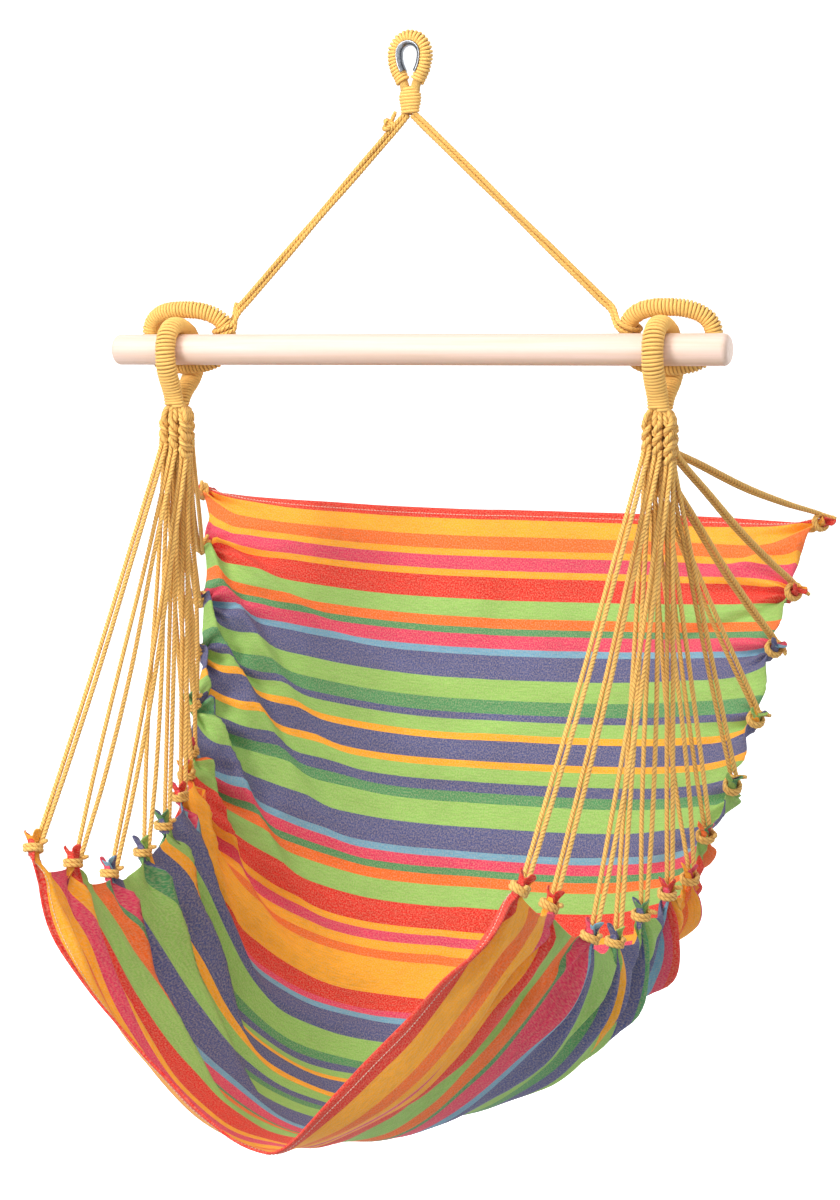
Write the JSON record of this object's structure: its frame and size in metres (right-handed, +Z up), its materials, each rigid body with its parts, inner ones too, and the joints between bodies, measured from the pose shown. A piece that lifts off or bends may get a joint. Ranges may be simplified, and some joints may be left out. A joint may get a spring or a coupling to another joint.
{
  "type": "hammock chair",
  "caption": "Striped cotton hammock chair: a gathered seat sling on fanned cords, looped over a wooden spreader bar that hangs by two ropes from a bound eye.",
  "frame": {"origin": "where a hook bears in the crown of the thimble, at the top of the chair", "axes": "+Z up; +X along the spreader bar to the sitter's left; -Y is the open front of the seat, +Y its back; metres"},
  "size_m": [0.8971, 0.7189, 1.2971],
  "materials": {
    "galvanised_steel": "bright zinc-plated steel",
    "beech": "smooth pale beech, thinly varnished",
    "striped_cotton": "plain-woven cotton with stripes from side to side, parallel to the hems, in green, navy, yellow, orange, pink and red",
    "cotton_rope": "twisted cotton cord laid double, golden yellow",
    "serving_cord": "tight binding of golden cotton cord",
    "sling_cord": "twisted golden cotton cord"
  },
  "bodies": {
    "eye": {"thimble": "galvanised_steel", "eye_rope": "cotton_rope", "eye_serving": "serving_cord"},
    "throat": {"throat_bundle": "cotton_rope", "throat_whipping": "serving_cord"},
    "hanger": {"left_suspension_rope": "cotton_rope", "right_suspension_rope": "cotton_rope", "left_top_knot": "cotton_rope", "left_hanger_ring": "cotton_rope", "left_ring_serving": "serving_cord", "right_hanger_ring": "cotton_rope", "right_ring_serving": "serving_cord"},
    "bar": {"spreader_bar": "beech"},
    "seat": {"left_sling_loop": "cotton_rope", "left_loop_serving": "serving_cord", "right_sling_loop": "cotton_rope", "right_loop_serving": "serving_cord", "left_clew": "cotton_rope", "right_clew": "cotton_rope", "left_cord_01": "sling_cord", "left_cord_02": "sling_cord", "left_cord_03": "sling_cord", "left_cord_04": "sling_cord", "left_cord_05": "sling_cord", "left_cord_06": "sling_cord", "left_cord_07": "sling_cord", "left_cord_08": "sling_cord", "left_cord_09": "sling_cord", "left_cord_10": "sling_cord", "left_cord_11": "sling_cord", "left_cord_12": "sling_cord", "left_cord_13": "sling_cord", "right_cord_01": "sling_cord", "right_cord_02": "sling_cord", "right_cord_03": "sling_cord", "right_cord_04": "sling_cord", "right_cord_05": "sling_cord", "right_cord_06": "sling_cord", "right_cord_07": "sling_cord", "right_cord_08": "sling_cord", "right_cord_09": "sling_cord", "right_cord_10": "sling_cord", "right_cord_11": "sling_cord", "right_cord_12": "sling_cord", "right_cord_13": "sling_cord", "sling_cloth": "striped_cotton"}
  },
  "joints": [
    {"name": "throat_sway", "type": "hinge", "parent": "eye", "child": "throat", "pos_m": [0, 0, -0.061], "axis": [0, 1, 0], "range_deg": [-15, 15]},
    {"name": "throat_swing", "type": "hinge", "parent": "throat", "child": "hanger", "pos_m": [0, 0, -0.08], "axis": [1, 0, 0], "range_deg": [-20, 20]},
    {"name": "bar_slide", "type": "slide", "parent": "hanger", "child": "bar", "axis": [1, 0, 0], "range_m": [-0.02, 0.02]},
    {"name": "seat_tilt", "type": "hinge", "parent": "hanger", "child": "seat", "pos_m": [0, 0, -0.361], "axis": [1, 0, 0], "range_deg": [-12, 12]}
  ]
}
